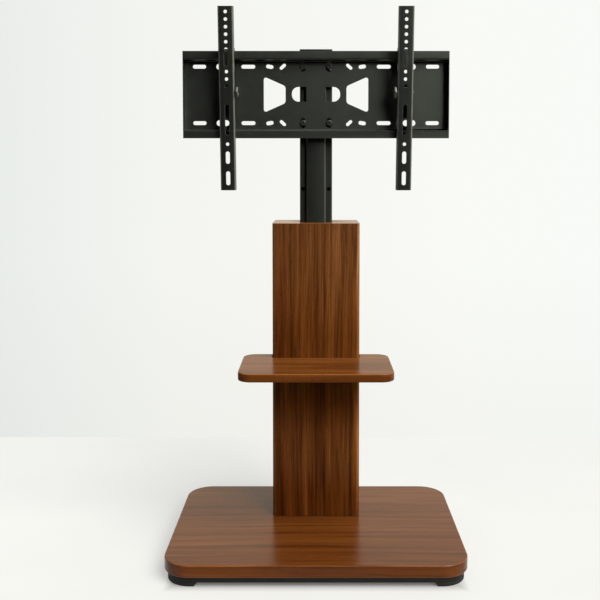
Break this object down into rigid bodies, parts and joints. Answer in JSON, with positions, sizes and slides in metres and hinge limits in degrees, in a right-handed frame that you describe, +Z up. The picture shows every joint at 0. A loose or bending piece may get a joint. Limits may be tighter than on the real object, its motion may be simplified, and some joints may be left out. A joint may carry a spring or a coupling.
{
  "type": "tv stand with mount",
  "caption": "Floor stand for a television: wooden base, hollow column with a notched shelf, and a height-adjustable steel post with a folded mounting plate and tilting screen arms.",
  "frame": {"origin": "centre of the base's footprint, on the floor", "axes": "+X to the viewer's right when the screen side is faced, +Y to the back, +Z up"},
  "size_m": [0.65, 0.45, 1.2387],
  "materials": {
    "walnut": "satin walnut veneer, grain along the length of each board",
    "black_board": "black painted board",
    "black_steel": "satin black powder coat",
    "rubber": "matte black",
    "black_plastic": "matte black moulded",
    "zinc_steel": "bright zinc plate"
  },
  "bodies": {
    "stand": {"base_board": "walnut", "plinth_board": "black_board", "foot_front_left": "rubber", "foot_front_right": "rubber", "foot_rear_left": "rubber", "foot_rear_right": "rubber", "foot_screw_front_left": "zinc_steel", "foot_screw_front_right": "zinc_steel", "foot_screw_rear_left": "zinc_steel", "foot_screw_rear_right": "zinc_steel", "column_screw_left": "zinc_steel", "column_screw_right": "zinc_steel", "column_front_panel": "walnut", "column_back_panel": "walnut", "column_left_panel": "walnut", "column_right_panel": "walnut", "column_top_board": "walnut", "guide_sleeve": "black_steel", "flange_bolt_front_left": "zinc_steel", "flange_bolt_front_right": "zinc_steel", "flange_bolt_rear_left": "zinc_steel", "flange_bolt_rear_right": "zinc_steel", "upper_guide_bush": "black_plastic", "shelf_board": "walnut", "shelf_bracket_left": "black_steel", "shelf_bracket_right": "black_steel", "bracket_wall_screw_left": "zinc_steel", "bracket_wall_screw_right": "zinc_steel", "bracket_shelf_screw_left": "zinc_steel", "bracket_shelf_screw_right": "zinc_steel"},
    "lift": {"lift_post": "black_steel", "post_cap": "black_plastic", "post_guide_shoe": "black_plastic", "mounting_plate": "black_steel", "plate_bolt_upper_left": "black_steel", "plate_bolt_upper_right": "black_steel", "plate_bolt_lower_left": "black_steel", "plate_bolt_lower_right": "black_steel", "plate_spacer_upper_left": "zinc_steel", "plate_spacer_upper_right": "zinc_steel", "plate_spacer_lower_left": "zinc_steel", "plate_spacer_lower_right": "zinc_steel", "threaded_bar_left": "zinc_steel", "threaded_bar_right": "zinc_steel"},
    "upper_lock_screw": {"height_lock_screw_upper": "black_plastic"},
    "lower_lock_screw": {"height_lock_screw_lower": "black_plastic"},
    "left_carriage": {"tilt_bracket_left": "black_steel", "catch_screw_left": "black_steel"},
    "left_catch": {"lip_catch_left": "black_steel"},
    "left_arm": {"screen_arm_left": "black_steel"},
    "left_tilt_knob": {"tilt_knob_left": "black_steel"},
    "right_carriage": {"tilt_bracket_right": "black_steel", "catch_screw_right": "black_steel"},
    "right_catch": {"lip_catch_right": "black_steel"},
    "right_arm": {"screen_arm_right": "black_steel"},
    "right_tilt_knob": {"tilt_knob_right": "black_steel"}
  },
  "joints": [
    {"name": "height_slide", "type": "slide", "parent": "stand", "child": "lift", "axis": [0, 0, 1], "range_m": [-0.07, 0.13]},
    {"name": "upper_lock_turn", "type": "hinge", "parent": "stand", "child": "upper_lock_screw", "pos_m": [0, 0.182, 0.64975], "axis": [0, 1, 0], "range_deg": [0, 360]},
    {"name": "lower_lock_turn", "type": "hinge", "parent": "stand", "child": "lower_lock_screw", "pos_m": [0, 0.182, 0.59975], "axis": [0, 1, 0], "range_deg": [0, 360]},
    {"name": "left_bracket_slide", "type": "slide", "parent": "lift", "child": "left_carriage", "axis": [1, 0, 0], "range_m": [-0.086, 0.1535]},
    {"name": "left_catch_slide", "type": "slide", "parent": "left_carriage", "child": "left_catch", "axis": [0, 0, 1], "range_m": [-0.008, 0]},
    {"name": "left_arm_tilt", "type": "hinge", "parent": "left_carriage", "child": "left_arm", "pos_m": [-0.2035, 0.00515, 1.04655], "axis": [1, 0, 0], "range_deg": [-12, 5]},
    {"name": "left_tilt_knob_turn", "type": "hinge", "parent": "left_carriage", "child": "left_tilt_knob", "pos_m": [-0.2035, 0.00515, 1.04655], "axis": [1, 0, 0], "range_deg": [0, 360]},
    {"name": "right_bracket_slide", "type": "slide", "parent": "lift", "child": "right_carriage", "axis": [1, 0, 0], "range_m": [-0.1535, 0.086]},
    {"name": "right_catch_slide", "type": "slide", "parent": "right_carriage", "child": "right_catch", "axis": [0, 0, 1], "range_m": [-0.008, 0]},
    {"name": "right_arm_tilt", "type": "hinge", "parent": "right_carriage", "child": "right_arm", "pos_m": [0.2035, 0.00515, 1.04655], "axis": [1, 0, 0], "range_deg": [-12, 5]},
    {"name": "right_tilt_knob_turn", "type": "hinge", "parent": "right_carriage", "child": "right_tilt_knob", "pos_m": [0.2035, 0.00515, 1.04655], "axis": [-1, 0, 0], "range_deg": [0, 360]}
  ]
}
